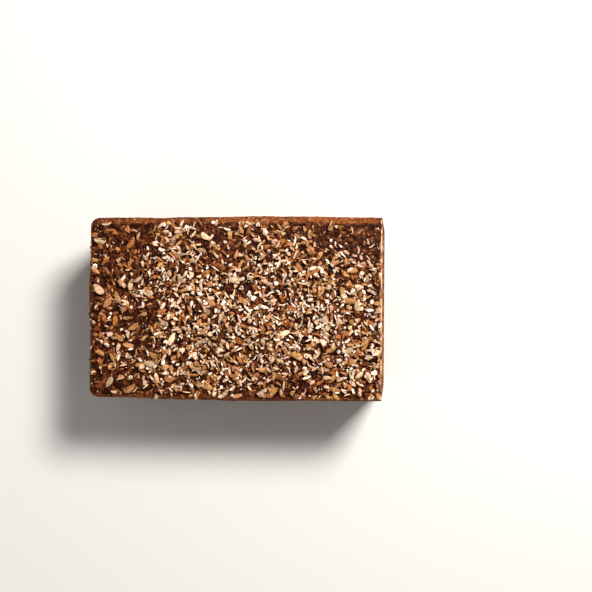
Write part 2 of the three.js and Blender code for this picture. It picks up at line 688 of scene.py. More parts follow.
@dataclass(frozen=True)
class CrustFinish:
    """Baked crust: dry and orange-brown where the tin held it, dark and glossy between the grains above,
    darker still in their gaps as painted shade.

    Attributes:
        pale: Lightest tin-baked colour.
        brown: Deepest tin-baked colour.
        scorched_and_pit_shade: Colour of dark bran and of the base, also painted into the pits and blisters
            as shade.
        bran: Colour of pale bran flecks.
        top_dark: Deep glaze between the grains, also painted into the gaps between them as shade.
        top_brown: Softened grain baked into the top.
        rim: Pale, dry edge that the knife left along the top, painted lighter still as a highlight.
        cut: The crust's own edge in the cut.
    """

    pale: Colour = linear(180, 108, 58)
    brown: Colour = linear(110, 56, 28)
    scorched_and_pit_shade: Colour = linear(50, 21, 9)
    bran: Colour = linear(204, 150, 98)
    top_dark: Colour = linear(44, 16, 6)
    top_brown: Colour = linear(124, 70, 36)
    rim: Colour = linear(234, 190, 150)
    cut: Colour = linear(70, 32, 15)

    def build(self, effects: Effects) -> bpy.types.Material:
        """Makes the material.

        Args:
            effects: The shared node groups.

        Returns:
            The crust material.
        """
        material, graph, shader = start_material("baked_crust")
        place = graph.place()
        seeded = graph.attribute("seeded")
        hollow = graph.attribute("hollow")
        patches = graph.group(effects.mottle, Place=place, Patch_Size=15 * MM, Contrast=1.7).outputs["Share"]
        fine = graph.group(effects.mottle, Place=place, Patch_Size=1.6 * MM, Contrast=2.2).outputs["Share"]
        grains = graph.group(effects.flecks, Place=place, Spacing=1.5 * MM, Cover=0.5, Softness=0.3)
        grit = graph.group(effects.flecks, Place=place, Spacing=0.9 * MM, Cover=0.22, Softness=0.12)
        dark_bran = graph.group(effects.flecks, Place=place, Spacing=2.3 * MM, Cover=0.16, Softness=0.06)
        pale_bran = graph.group(effects.flecks, Place=place, Spacing=3.6 * MM, Cover=0.13, Softness=0.05)
        soaked = graph.group(effects.flecks, Place=place, Spacing=2.4 * MM, Cover=0.55, Softness=0.25)

        side = graph.mix(patches, self.brown, self.pale)
        side = graph.mix(graph.math("MULTIPLY", fine, 0.5), side, self.brown)
        pressed = graph.group(effects.mottle, Place=place, Patch_Size=7 * MM, Contrast=2.0)
        shown = graph.grade(pressed.outputs["Share"], 0.2, 0.8, 0.3, 1.0)
        lighter = graph.grade(grains.outputs["Tone"], 0.5, 1.0, 0.0, 0.45)
        side = graph.mix(graph.math("MULTIPLY", lighter, shown), side, self.bran)
        side = graph.mix(graph.grade(grains.outputs["Tone"], 0.4, 0.0, 0.0, 0.5), side, self.scorched_and_pit_shade)
        side = graph.mix(graph.math("MULTIPLY", grit.outputs["Mask"], 0.5), side, self.bran)
        seams = graph.grade(grains.outputs["Distance"], 0.4, 0.75, 0.0, 0.6)
        side = graph.mix(graph.math("MULTIPLY", seams, shown), side, self.scorched_and_pit_shade)
        broken = graph.grade(fine, 0.2, 0.8, 0.55, 1.25)
        side = graph.mix(graph.math("MULTIPLY", graph.attribute("scorch"), broken), side, self.scorched_and_pit_shade)
        side = graph.mix(graph.math("MULTIPLY", dark_bran.outputs["Mask"], 0.8), side, self.scorched_and_pit_shade)
        side = graph.mix(graph.math("MULTIPLY", pale_bran.outputs["Mask"], 0.8), side, self.bran)

        glaze = graph.mix(soaked.outputs["Tone"], self.top_dark, self.top_brown)
        glaze = graph.mix(graph.grade(fine, 0.3, 0.8, 0.0, 0.6), glaze, self.top_dark)
        # Painted shade: the glaze goes dark in the gaps between the soaked grains.
        glaze = graph.mix(graph.grade(soaked.outputs["Distance"], 0.45, 0.7), glaze, self.top_dark)
        glaze = graph.mix(graph.math("MULTIPLY", pale_bran.outputs["Mask"], 0.8), glaze, self.bran)

        colour = graph.mix(seeded, side, glaze)
        # Painted shade: the pits and blisters of the walls are darkened.
        colour = graph.mix(graph.math("MULTIPLY", hollow, 0.6), colour, self.scorched_and_pit_shade)
        torn = graph.mix(fine, self.cut, self.brown)
        colour = graph.mix(graph.attribute("cut"), colour, torn)
        # Painted highlight: a pale line along the top of the cut, partly the dry cut edge itself.
        colour = graph.mix(graph.attribute("rim"), colour, self.rim)
        graph.feed(shader.inputs["Base Color"], colour)

        dry = graph.grade(fine, 0.2, 0.8, 0.55, 0.8)
        glossy = graph.grade(fine, 0.2, 0.8, 0.34, 0.62)
        shine = graph.add("Mix", {0: seeded, 2: dry, 3: glossy}, data_type="FLOAT")
        graph.feed(shader.inputs["Roughness"], shine.outputs[0])
        shader.inputs["Specular IOR Level"].default_value = 0.1
        sizes = {"Lump_Size": 2.2 * MM, "Grain_Size": 1.3 * MM, "Grain_Share": 0.9}
        relief = graph.group(effects.relief, Place=place, **sizes)
        add_bump(graph, shader, relief.outputs["Height"], 0.5 * MM, 1.0)
        return material


@dataclass(frozen=True)
class CrumbFinish:
    """Moist, coarse rye crumb: ridges painted light as highlights, a mahogany body and pores painted
    near-black as shade.

    Attributes:
        ridge: Painted highlight on the torn ridges that stand out.
        body: The crumb's main colour.
        pore: Painted shade deep in a pore.
        ring: The denser ring inside the crust.
        flake: Small pale flakes of grain.
    """

    ridge: Colour = linear(182, 114, 71)
    body: Colour = linear(104, 54, 31)
    pore: Colour = linear(36, 12, 5)
    ring: Colour = linear(70, 34, 19)
    flake: Colour = linear(216, 168, 124)

    def build(self, effects: Effects) -> bpy.types.Material:
        """Makes the material.

        Args:
            effects: The shared node groups.

        Returns:
            The crumb material.
        """
        material, graph, shader = start_material("rye_crumb")
        place = graph.place()
        level = graph.attribute("level")
        fine = graph.group(effects.mottle, Place=place, Patch_Size=1.3 * MM, Contrast=2.4).outputs["Share"]
        patches = graph.group(effects.mottle, Place=place, Patch_Size=9 * MM, Contrast=1.6).outputs["Share"]
        flakes = graph.group(effects.flecks, Place=place, Spacing=2.4 * MM, Cover=0.2, Softness=0.05)
        # Painted highlight: the higher the crumb stands, the lighter it is coloured.
        lit = graph.grade(graph.math("ADD", level, graph.math("MULTIPLY", fine, 0.5)), 0.62, 1.2)
        colour = graph.mix(lit, self.body, self.ridge)
        colour = graph.mix(graph.grade(patches, 0.35, 0.85, 0.0, 0.6), colour, self.ring)
        colour = graph.mix(graph.math("MULTIPLY", flakes.outputs["Mask"], 0.8), colour, self.flake)
        colour = graph.mix(graph.attribute("ring"), colour, self.ring)
        # Painted shade: the deepest pores go near-black.
        colour = graph.mix(graph.grade(level, 0.5, 0.12), colour, self.pore)
        graph.feed(shader.inputs["Base Color"], colour)
        graph.feed(shader.inputs["Roughness"], graph.grade(fine, 0.2, 0.8, 0.42, 0.68))
        shader.inputs["Specular IOR Level"].default_value = 0.12
        sizes = {"Lump_Size": 1.1 * MM, "Grain_Size": 0.7 * MM, "Grain_Share": 0.7}
        relief = graph.group(effects.relief, Place=place, **sizes)
        add_bump(graph, shader, relief.outputs["Height"], 0.5 * MM, 1.0)
        return material


@dataclass(frozen=True)
class GrainFinish:
    """Toasted grain whose colour is stored on each grain, with fine streaks and darker toasting over it.

    Attributes:
        name: The material's name.
        toast: Colour that toasting leaves.
        toast_share: How strongly it shows.
        streak_size: Size of the toasted streaks.
        roughest: Roughness of the driest spots.
        smoothest: Roughness of the shiniest spots.
        bump: Depth of the fine relief.
        gloss: Strength of the shine.
    """

    name: str
    toast: Colour = linear(122, 70, 38)
    toast_share: float = 0.5
    streak_size: float = 0.9 * MM
    roughest: float = 0.75
    smoothest: float = 0.48
    bump: float = 0.12 * MM
    gloss: float = 0.12

    def build(self, effects: Effects) -> bpy.types.Material:
        """Makes the material.

        Args:
            effects: The shared node groups.

        Returns:
            The grain material.
        """
        material, graph, shader = start_material(self.name)
        place = graph.place()
        tint = graph.attribute("tint", "Color")
        patches = graph.group(effects.mottle, Place=place, Patch_Size=self.streak_size, Contrast=2.6)
        share = graph.grade(patches.outputs["Share"], 0.35, 1.0, 0.0, self.toast_share)
        toasted = graph.mix(share, tint, graph.mix(1.0, tint, self.toast, "MULTIPLY"))
        graph.feed(shader.inputs["Base Color"], toasted)
        rough = graph.grade(patches.outputs["Share"], 0.2, 0.8, self.smoothest, self.roughest)
        graph.feed(shader.inputs["Roughness"], rough)
        shader.inputs["Specular IOR Level"].default_value = self.gloss
        sizes = {"Lump_Size": 0.8 * MM, "Grain_Size": 0.45 * MM, "Grain_Share": 0.5}
        relief = graph.group(effects.relief, Place=place, **sizes)
        add_bump(graph, shader, relief.outputs["Height"], self.bump, 0.8)
        return material


# Crust and crumb


@dataclass
class Crust:
    """The baked outside: walls, base, shoulder and top, with a pocket in the cut end that holds the crumb.

    Attributes:
        form: The loaf's shape.
        finish: The crust's finish.
        step: Size of the mesh's faces.
        rind: Thickness of the crust that the cut shows.
        pocket: Depth of the pocket behind the cut.
        bare_north: Width of the shoulder without grain on the +Y side.
        bare_south: The same on the -Y side.
        bare_end: The same at the baked end.
    """

    form: LoafForm
    finish: CrustFinish
    step: float = 0.86 * MM
    rind: float = 0.8 * MM
    pocket: float = 4.5 * MM
    bare_north: float = 3.8 * MM
    bare_south: float = 2.2 * MM
    bare_end: float = 0.7 * MM

    def bare_at(self, y: Array) -> Array:
        """Width of the edge without grain, at each place across the loaf."""
        return self.bare_south + (self.bare_north - self.bare_south) * ramp(y, -20 * MM, 20 * MM)

    def seeded_at(self, x: Array, y: Array) -> Array:
        """How much each place on the top is under grain.

        Args:
            x: Places along the loaf.
            y: Places across it.

        Returns:
            0 on the bare shoulder to 1 in the grain.
        """
        form = self.form
        place = np.column_stack([x, y, np.zeros(len(x))])
        wander = 0.9 * MM * layered_noise(place, 9 * MM, 51)
        to_side = form.half_at(x, form.wall_height) - np.abs(y) - self.bare_at(y)
        to_end = x - form.end_at(form.wall_height) - self.bare_end
        radius = form.corner_radius - self.bare_end
        over = np.hypot(np.maximum(0, radius - to_side), np.maximum(0, radius - to_end))
        inside = np.where(over > 0, radius - over, np.minimum(to_side, to_end))
        return ramp(inside + wander, -0.5 * MM, 0.7 * MM)

    def top_relief(self, place: Array) -> Array:
        """Roughness of the top under the grain: lumps, and small pits between them.

        Args:
            place: Points of the smooth top.

        Returns:
            The height above the smooth top.
        """
        lumps = 0.55 * MM * layered_noise(place, 8 * MM, 11) + 0.3 * MM * smooth_noise(place, 2.6 * MM, 15)
        grain, _ = nearest_grain(place, 2.6 * MM, 21)
        return lumps + 0.35 * MM * (0.5 - grain)

    def wall_relief(self, place: Array) -> tuple[Array, Array]:
        """Roughness of the crust that the tin shaped.

        Args:
            place: Points of the smooth wall.

        Returns:
            The height above the smooth wall, and how hollow each point is.
        """
        swell = 0.8 * MM * layered_noise(place, 26 * MM, 31)
        skin = 0.24 * MM * layered_noise(place, 4 * MM, 35)
        grain, _ = nearest_grain(place, 2.6 * MM, 41)
        beads = 0.17 * MM * (0.5 - grain)
        blister, chance = nearest_grain(place, 9 * MM, 45)
        size = 0.06 + 0.16 * chance
        bowl = np.where(chance < 0.75, ramp(blister, size, size * 0.35), 0)
        pin, luck = nearest_grain(place, 3.6 * MM, 49)
        prick = np.where(luck < 0.4, ramp(pin, 0.26, 0.1), 0)
        kernel, odds = nearest_grain(place * np.array([0.55, 0.55, 1.0]), 6 * MM, 53)
        under = np.where(odds < 0.5, ramp(kernel, 0.34, 0.12), 0)
        height = swell + skin + beads + 0.3 * MM * under - 1.1 * MM * bowl - 0.7 * MM * prick
        return height, np.maximum(0.75 * bowl, prick)

    def lines(self, start: float, end: float, rims: bool) -> Array:
        """Places the mesh's divisions along one axis.

        Args:
            start: Lowest place.
            end: Highest place.
            rims: Whether the first and last two are set to the rind's thickness.

        Returns:
            The places in order.
        """
        edge = self.rind if rims else self.step
        inner = np.linspace(start + edge, end - edge, max(2, round((end - start - 2 * edge) / self.step)))
        return np.concatenate([[start, start + edge / 2], inner, [end - edge / 2, end]])

    def build(self, effects: Effects) -> Piece:
        """Makes the crust.

        Args:
            effects: The shared node groups.

        Returns:
            The crust piece.
        """
        form = self.form
        box, faces = BoxSkin(
            self.lines(0, form.length, False),
            self.lines(-form.half, form.half, True),
            self.lines(0, form.wall_height, True),
        ).build()
        smooth_form = form.wrap(box)
        normal = vertex_normals(smooth_form, faces)
        on_cut = box[:, 0] > form.length - 1e-9
        in_pocket = on_cut & (form.depth_in(box) > self.rind * 1.05)

        x, y, z = smooth_form.T
        facing_up = ramp(normal[:, 2], 0.45, 0.85)
        facing_down = ramp(-normal[:, 2], 0.6, 0.95)
        seeded = self.seeded_at(x, y) * facing_up
        wall, hollow = self.wall_relief(smooth_form)
        height = wall + (self.top_relief(smooth_form) - wall) * seeded
        under = np.minimum(wall, 0) * 0.6
        height = np.where(facing_down > 0, height + (under - height) * facing_down, height)
        from_cut = form.cut_at(z) - x
        grip = ramp(from_cut, 0, 2 * MM)
        sideways = normal.copy()
        sideways[:, 0] *= grip
        points = smooth_form + sideways * height[:, None]
        rough = 0.14 * MM * layered_noise(smooth_form, 1.4 * MM, 61)
        points[:, 0] += np.where(on_cut, rough, 0)
        points[:, 0] -= np.where(in_pocket, self.pocket, 0)
        points[:, 2] = np.maximum(points[:, 2], 0)

        piece = build_object("loaf_crust", points, faces, True)
        set_values(piece, "seeded", seeded)
        set_values(piece, "cut", np.where(on_cut, 0.85, 0.0))
        # hollow: how deep each pit is, which the crust's colour turns into painted shade.
        set_values(piece, "hollow", np.clip(hollow, 0, 1) * (1 - seeded))
        set_values(piece, "scorch", self.scorch_at(smooth_form, facing_down))
        # The rim line: the cut's top edge, painted pale as a highlight and broken up along its length.
        line = ramp(from_cut + 0.5 * MM * layered_noise(smooth_form, 3 * MM, 65), 0.8 * MM, 0.25 * MM)
        rim_breaks = 0.2 + 0.8 * ramp(layered_noise(smooth_form, 3 * MM, 67), -0.45, 0.2)
        top_edge = ramp(z, form.wall_height - 1.2 * MM, form.wall_height - 0.3 * MM)
        set_values(piece, "rim", line * rim_breaks * top_edge)
        piece.data.materials.append(self.finish.build(effects))
        return piece

    def scorch_at(self, place: Array, facing_down: Array) -> Array:
        """How dark the tin baked the crust: most at the foot, the base and in patches.

        Args:
            place: Points of the smooth loaf.
            facing_down: How much each of them faces the floor.

        Returns:
            A share for each point.
        """
        foot = 0.45 * ramp(place[:, 2] + 5 * MM * smooth_noise(place, 18 * MM, 73), 18 * MM, 0)
        flank = 0.16 * ramp(place[:, 2], self.form.wall_height - 2 * MM, self.form.wall_height - 9 * MM)
        patch = 0.5 * ramp(layered_noise(place, 24 * MM, 71, 4), 0.0, 0.55)
        x, y, z = place.T
        to_side = self.form.half_at(x, z) - np.abs(y)
        corner = 0.35 * ramp(x - self.form.end_at(z), 10 * MM, 0) * ramp(to_side, 10 * MM, 0)
        return np.clip(np.maximum(foot, 0.4 * facing_down) + flank + patch + corner, 0, 0.8)


@dataclass
class Crumb:
    """The cut face's crumb: a closed slab that fills the crust's pocket, pitted and torn in front.

    Attributes:
        form: The loaf's shape.
        finish: The crumb's finish.
        inset: How far the slab's edge is inside the loaf's outline.
        thickness: The slab's depth.
        step: Size of the mesh's faces.
    """

    form: LoafForm
    finish: CrumbFinish
    inset: float = 0.35 * MM
    thickness: float = 4.0 * MM
    step: float = 0.38 * MM

    def torn(self, place: Array) -> Array:
        """Shapes the torn face from bent strands, clumps and the hollows between them.

        Args:
            place: Points of the flat face.

        Returns:
            The level of each point, from 0 deep in a pore to 1 on a ridge that the knife reached.
        """
        coarse = np.stack([smooth_noise(place, 7 * MM, seed) for seed in (81, 82, 83)], axis=1)
        fine = np.stack([layered_noise(place, 2.2 * MM, seed) for seed in (84, 86, 88)], axis=1)
        bent = place + 3.0 * MM * coarse + 0.9 * MM * fine
        broad = np.clip(1 - 2.6 * np.abs(layered_noise(bent, 7.5 * MM, 91, 2)), 0, 1)
        narrow = np.clip(1 - 2.2 * np.abs(layered_noise(bent, 4.0 * MM, 93, 2)), 0, 1)
        clump, _ = nearest_grain(bent, 1.7 * MM, 97)
        hollow = ramp(layered_noise(bent, 5.5 * MM, 99), -0.05, -0.5)
        level = 0.1 + 0.55 * np.maximum(broad, 0.8 * narrow) + 0.45 * (1 - clump / 0.75)
        level += 0.25 * layered_noise(place, 1.2 * MM, 105, 2) - 0.55 * hollow
        return np.clip(level, 0, 1)

    def build(self, effects: Effects) -> Piece:
        """Makes the crumb.

        Args:
            effects: The shared node groups.

        Returns:
            The crumb piece.
        """
        form = self.form
        side = form.half - self.inset
        low, high = self.inset, form.wall_height - self.inset
        box, faces = BoxSkin(
            np.array([0.0, 0.6, 1.0]),
            np.linspace(-side, side, round(2 * side / self.step)),
            np.linspace(low, high, round((high - low) / self.step)),
        ).build()
        layer = box[:, 0].copy()
        box[:, 0] = form.length
        points = form.wrap(box)
        flat = points.copy()
        level = self.torn(flat)
        inward = form.depth_in(box)
        free = ramp(inward, self.inset + 0.3 * MM, self.inset + 1.8 * MM)
        front = layer > 0.99
        sunk = (-0.08 + (0.15 + 2.5 * (1 - level) ** 1.5) * free) * MM
        points[:, 0] -= np.where(front, sunk, self.thickness * (1 - layer * 0.5))

        piece = build_object("cut_crumb", points, faces, True)
        set_values(piece, "level", 0.55 + (level - 0.55) * free * front)
        ring = ramp(inward + 1.8 * MM * layered_noise(flat, 5 * MM, 131), 3.6 * MM, 0.8 * MM)
        set_values(piece, "ring", 0.55 * ring)
        piece.data.materials.append(self.finish.build(effects))
        return piece


# Grain


class GrainShape(Enum):
    """The forms that grain comes in."""

    KERNEL = "sunflower kernel, whole, split or broken"
    CHIP = "cracked grain with flat breaks"
    FLAKE = "flat, angular flake of crushed grain"
    SLIVER = "thin curved husk"
    ROUND = "small round grain with a dimple"
    CRUMB = "speck of bran"


class GrainForms:
    """Unit-sized grain shapes, several of each form, about 1 long in X and centred on the origin."""

    def __init__(self, seed: int) -> None:
        """Starts the random draws that the shapes are made with."""
        self.rng = np.random.default_rng(seed)

    def make(self, shape: GrainShape, count: int) -> list[Arrays]:
        """Makes several versions of one form.

        Args:
            shape: The form.
            count: How many versions.

        Returns:
            Points, faces and a tone for each point, for each version.
        """
        makers = {
            GrainShape.KERNEL: self.kernel,
            GrainShape.CHIP: self.chip,
            GrainShape.FLAKE: self.flake,
            GrainShape.SLIVER: self.sliver,
            GrainShape.ROUND: self.round,
            GrainShape.CRUMB: self.crumb,
        }
        return [makers[shape](version) for version in range(count)]

    @staticmethod
    def lofted(rings: Array) -> Array:
        """Joins rings of points, whose first and last are closed to a point, into triangles.

        Args:
            rings: Rings by points round each ring, by three.

        Returns:
            Faces as triangles over the rings' points in order.
        """
        count, around = rings.shape[:2]
        number = np.arange(count * around).reshape(count, around)
        turned = np.roll(number, -1, axis=1)
        low, high = number[:-1], number[1:]
        low_next, high_next = turned[:-1], turned[1:]
        first = np.stack([low, low_next, high_next], axis=-1).reshape(-1, 3)
        second = np.stack([low, high_next, high], axis=-1).reshape(-1, 3)
        return np.concatenate([first, second])

    @staticmethod
    def welded(points: Array, faces: Array, tone: Array) -> Arrays:
        """Merges points that lie together and drops the faces that this closes up.

        Args:
            points: Points, one row each.
            faces: Triangles.
            tone: A tone for each point.

        Returns:
            Points, faces and tones after merging.
        """
        _, first, number = np.unique(np.round(points, 5), axis=0, return_index=True, return_inverse=True)
        faces = number.reshape(-1)[faces]
        whole = (faces[:, 0] != faces[:, 1]) & (faces[:, 1] != faces[:, 2]) & (faces[:, 2] != faces[:, 0])
        return points[first], faces[whole], tone[first]

    def ball(self, detail: int) -> tuple[Array, Array]:
        """Makes a unit ball of triangles.

        Args:
            detail: How often its faces are divided, from 1 for 20 faces.

        Returns:
            Points and faces.
        """
        mesh = bmesh.new()
        bmesh.ops.create_icosphere(mesh, subdivisions=detail, radius=1)
        mesh.verts.ensure_lookup_table()
        points = np.array([vert.co for vert in mesh.verts], float)
        faces = np.array([[vert.index for vert in face.verts] for face in mesh.faces])
        mesh.free()
        return points, faces

    def kernel(self, version: int) -> Arrays:
        """A hulled sunflower kernel: a pointed tear-drop.

        Args:
            version: Which version. One in three is split, and one in three is broken across.

        Returns:
            Points, faces and a tone for each point.
        """
        rng = self.rng
        along = 0.5 - 0.5 * np.cos(np.linspace(0, math.pi, 13))
        width = 0.47 * along**0.62 * (1 - along) ** 0.42 * rng.uniform(0.9, 1.12)
        around = np.linspace(0, 2 * math.pi, 12, endpoint=False)
        thickness = rng.uniform(0.5, 0.68)
        side = np.cos(around)[None, :] * width[:, None]
        up = np.sin(around)[None, :] * width[:, None] * thickness
        curve = rng.uniform(-0.08, 0.08) * np.sin(math.pi * along)
        rings = np.stack([np.repeat(along[:, None] - 0.5, 12, axis=1), side + curve[:, None], up], axis=-1)
        points = rings.reshape(-1, 3)
        # Painted light: the upper side is lighter than the underside. The pointed end is darker.
        tone = 0.94 + 0.16 * ramp(points[:, 2], -0.1, 0.14)
        tone *= 0.8 + 0.2 * ramp(points[:, 0], -0.5, -0.3)
        if version % 3 == 1:
            level = 0.02 + 0.04 * np.abs(points[:, 1]) / 0.2
            tone = np.where(points[:, 2] > level, 1.12, tone)
            points[:, 2] = np.minimum(points[:, 2], level)
        if version % 3 == 2:
            brk = rng.uniform(-0.12, 0.15) + 0.3 * points[:, 1]
            tone = np.where(points[:, 0] > brk, 1.15, tone)
            points[:, 0] = np.minimum(points[:, 0], brk)
        points = points + 0.012 * rng.normal(size=(1, 3))
        return self.welded(points, self.lofted(rings), tone)

    def chip(self, version: int) -> Arrays:
        """A piece of cracked grain: a lump with a few flat breaks.

        Args:
            version: Which version. One in four is a flat flake.

        Returns:
            Points, faces and a tone for each point.
        """
        rng = self.rng
        points, faces = self.ball(2)
        points = points * (1 + 0.12 * rng.normal(size=(len(points), 1)))
        tone = np.ones(len(points))
        for _ in range(rng.integers(3, 6)):
            way = rng.normal(size=3)
            way /= np.linalg.norm(way)
            over = np.maximum(0, points @ way - rng.uniform(0.35, 0.75))
            tone = np.where(over > 0, rng.uniform(0.95, 1.2), tone)
            points = points - over[:, None] * way
        flat = 0.22 if version % 4 == 0 else rng.uniform(0.38, 0.6)
        points = points * np.array([0.5, rng.uniform(0.17, 0.3), flat / 2.4])
        return points, faces, tone

    def flake(self, version: int) -> Arrays:
        """A flat flake of crushed grain: an angular outline, a slightly domed top and a little bend.

        Args:
            version: Which version, which sets its number of sides.

        Returns:
            Points, faces and a tone for each point.
        """
        rng = self.rng
        sides = 5 + version % 3
        around = np.linspace(0, 2 * math.pi, sides, endpoint=False) + rng.uniform(-0.3, 0.3, sides)
        reach = rng.uniform(0.38, 0.54, sides)
        narrow = rng.uniform(0.3, 0.5) if version % 3 else rng.uniform(0.5, 0.8)
        outline = np.stack([reach * np.cos(around), reach * narrow * np.sin(around)], axis=1)
        scales = np.array([0, 0.82, 1, 0.8, 0])
        levels = np.array([-0.1, -0.1, 0.0, 0.1, 0.13]) * rng.uniform(0.8, 1.3)
        rings = np.zeros((5, sides, 3))
        rings[..., :2] = scales[:, None, None] * outline[None]
        rings[..., 2] = levels[:, None]
        rings[1:4] += 0.02 * rng.normal(size=(3, sides, 3))
        rings[..., 2] += rng.uniform(-0.5, 0.5) * rings[..., 0] ** 2
        points = rings.reshape(-1, 3)
        # Painted light: each flake is darker underneath and lighter on top.
        tone = np.repeat(np.array([0.85, 0.9, 0.95, 1.05, 1.1]), sides)
        return self.welded(points, self.lofted(rings), tone)

    def sliver(self, version: int) -> Arrays:
        """A husk sliver: a thin strip, tapered at both ends and curled in its own way.

        Args:
            version: Which version. They differ by the random draws alone.

        Returns:
            Points, faces and a tone for each point.
        """
        rng = self.rng
        along = np.linspace(0, 1, 9)
        width = rng.uniform(0.06, 0.12) * np.sin(math.pi * np.clip(along, 0.001, 0.999)) ** 0.45
        turn = rng.uniform(-1.5, 1.5) * (along - 0.5)
        middle = np.stack([np.cumsum(np.cos(turn)), np.cumsum(np.sin(turn)), np.zeros(9)], axis=1) / 8
        middle -= middle.mean(axis=0)
        middle[:, 2] = rng.uniform(-0.03, 0.12) * np.cos(math.pi * (along - 0.5))
        around = np.linspace(0, 2 * math.pi, 6, endpoint=False)
        across = np.stack([-np.sin(turn), np.cos(turn), np.zeros(9)], axis=1)
        twist = rng.uniform(-0.6, 0.6)
        wide = np.cos(around)[None, :, None] * (width[:, None] * across)[:, None, :]
        lift = np.sin(around) * 0.4 + np.cos(around) * twist * 0.5
        tall = (width[:, None] * lift[None, :])[..., None] * np.array([0, 0, 1.0])
        rings = middle[:, None, :] + wide + tall
        points = rings.reshape(-1, 3)
        return self.welded(points, self.lofted(rings), np.ones(len(points)))

    def round(self, version: int) -> Arrays:
        """A small round grain: a flattened ball with a dimple.

        Args:
            version: Which version. Every other one is dark inside its dimple.

        Returns:
            Points, faces and a tone for each point.
        """
        rng = self.rng
        rise = np.linspace(-math.pi / 2, math.pi / 2, 9)
        around = np.linspace(0, 2 * math.pi, 12, endpoint=False)
        radius = 0.5 * np.cos(rise) ** 0.8
        level = 0.34 * np.sin(rise)
        dimple = rng.uniform(0.1, 0.3)
        level = level - dimple * ramp(np.cos(rise), 0.75, 0.0) * (rise > 0)
        squash = 1 + 0.14 * np.cos(2 * around + rng.uniform(0, 6)) + 0.04 * rng.normal(size=12)
        flat = np.stack([np.cos(around) * squash, np.sin(around) * squash], axis=1)
        plan = radius[:, None, None] * flat[None]
        rings = np.concatenate([plan, np.repeat(level[:, None, None], 12, axis=1)], axis=2)
        points = rings.reshape(-1, 3)
        tone = np.repeat(np.where((rise > 0.9) & (version % 2 == 0), 0.25, 1.0), 12)
        return self.welded(points, self.lofted(rings), tone)

    def crumb(self, version: int) -> Arrays:
        """A speck of bran: a small uneven lump.

        Args:
            version: Which version. Every other one is flatter.

        Returns:
            Points, faces and a tone for each point.
        """
        points, faces = self.ball(1)
        points = points * (1 + 0.3 * self.rng.normal(size=(len(points), 1)))
        flat = 0.16 if version % 2 else 0.3
        return points * np.array([0.55, self.rng.uniform(0.22, 0.4), flat]), faces, np.ones(len(points))


# Half length, half width and thickness of each form, as shares of its length
FOOTPRINTS = {
    GrainShape.KERNEL: (0.5, 0.23, 0.26),
    GrainShape.CHIP: (0.45, 0.34, 0.4),
    GrainShape.FLAKE: (0.44, 0.28, 0.24),
    GrainShape.SLIVER: (0.48, 0.1, 0.08),
    GrainShape.ROUND: (0.48, 0.48, 0.55),
    GrainShape.CRUMB: (0.45, 0.3, 0.4),
}
PROUD_OF_CUT = 0.25 * MM  # how far a grain may stand past the cut face
# Where the grain lies thicker or thinner: middle and reach, along and across, and the change
COVER_CHANGES = (
    (0.43, 0.8, 0.06, 0.35, -0.35),
    (0.72, 0.9, 0.06, 0.3, -0.25),
    (0.94, 0.8, 0.11, 0.35, -0.45),
    (0.28, 0.55, 0.07, 0.3, 0.2),
    (0.84, -0.25, 0.12, 0.35, 0.1),
    (0.35, 0.1, 0.1, 0.3, 0.2),
    (0.61, -0.1, 0.06, 0.22, 0.25),
    (0.22, -0.1, 0.06, 0.25, -0.3),
    (0.5, 0.4, 0.05, 0.2, -0.25),
    (0.62, -0.9, 0.14, 0.2, -0.3),
    (0.98, 0.0, 0.14, 1.2, -0.22),
    (0.1, -0.9, 0.12, 0.25, -0.12),
)


@dataclass(frozen=True)
class GrainKind:
    """One kind of grain and how it lies on the loaf.

    Attributes:
        name: The piece's name.
        shape: Its form.
        count: How many are scattered.
        length: Shortest and longest.
        colours: Colours that it comes in, each equally often.
        finish: Its finish.
        smooth: Whether its faces are shaded smooth.
        sink: Share of its thickness below what it lies on.
        tilt: How far it may tip, in radians.
        apart: Least distance from its own kind, as a share of its length.
        spread: How strongly it keeps to the well-covered parts: 0 ignores them, and 2 is strong.
        versions: How many versions of the form are made.
    """

    name: str
    shape: GrainShape
    count: int
    length: tuple[float, float]
    colours: tuple[Colour, ...]
    finish: GrainFinish
    smooth: bool = True
    sink: float = 0.35
    tilt: float = 0.25
    apart: float = 0.5
    spread: float = 1.0
    versions: int = 12


def turns(yaw: Array, pitch: Array, roll: Array) -> Array:
    """Makes rotation matrices from a turn about Z after small tips about X and Y.

    Args:
        yaw: Turns about Z.
        pitch: Tips about Y.
        roll: Tips about X.

    Returns:
        One 3 by 3 matrix for each.
    """
    zero, one = np.zeros_like(yaw), np.ones_like(yaw)
    cos, sin = np.cos(yaw), np.sin(yaw)
    about_z = np.array([[cos, -sin, zero], [sin, cos, zero], [zero, zero, one]])
    cos, sin = np.cos(pitch), np.sin(pitch)
    about_y = np.array([[cos, zero, sin], [zero, one, zero], [-sin, zero, cos]])
    cos, sin = np.cos(roll), np.sin(roll)
    about_x = np.array([[one, zero, zero], [zero, cos, -sin], [zero, sin, cos]])
    return np.einsum("ijn,jkn,kln->nil", about_z, about_y, about_x)


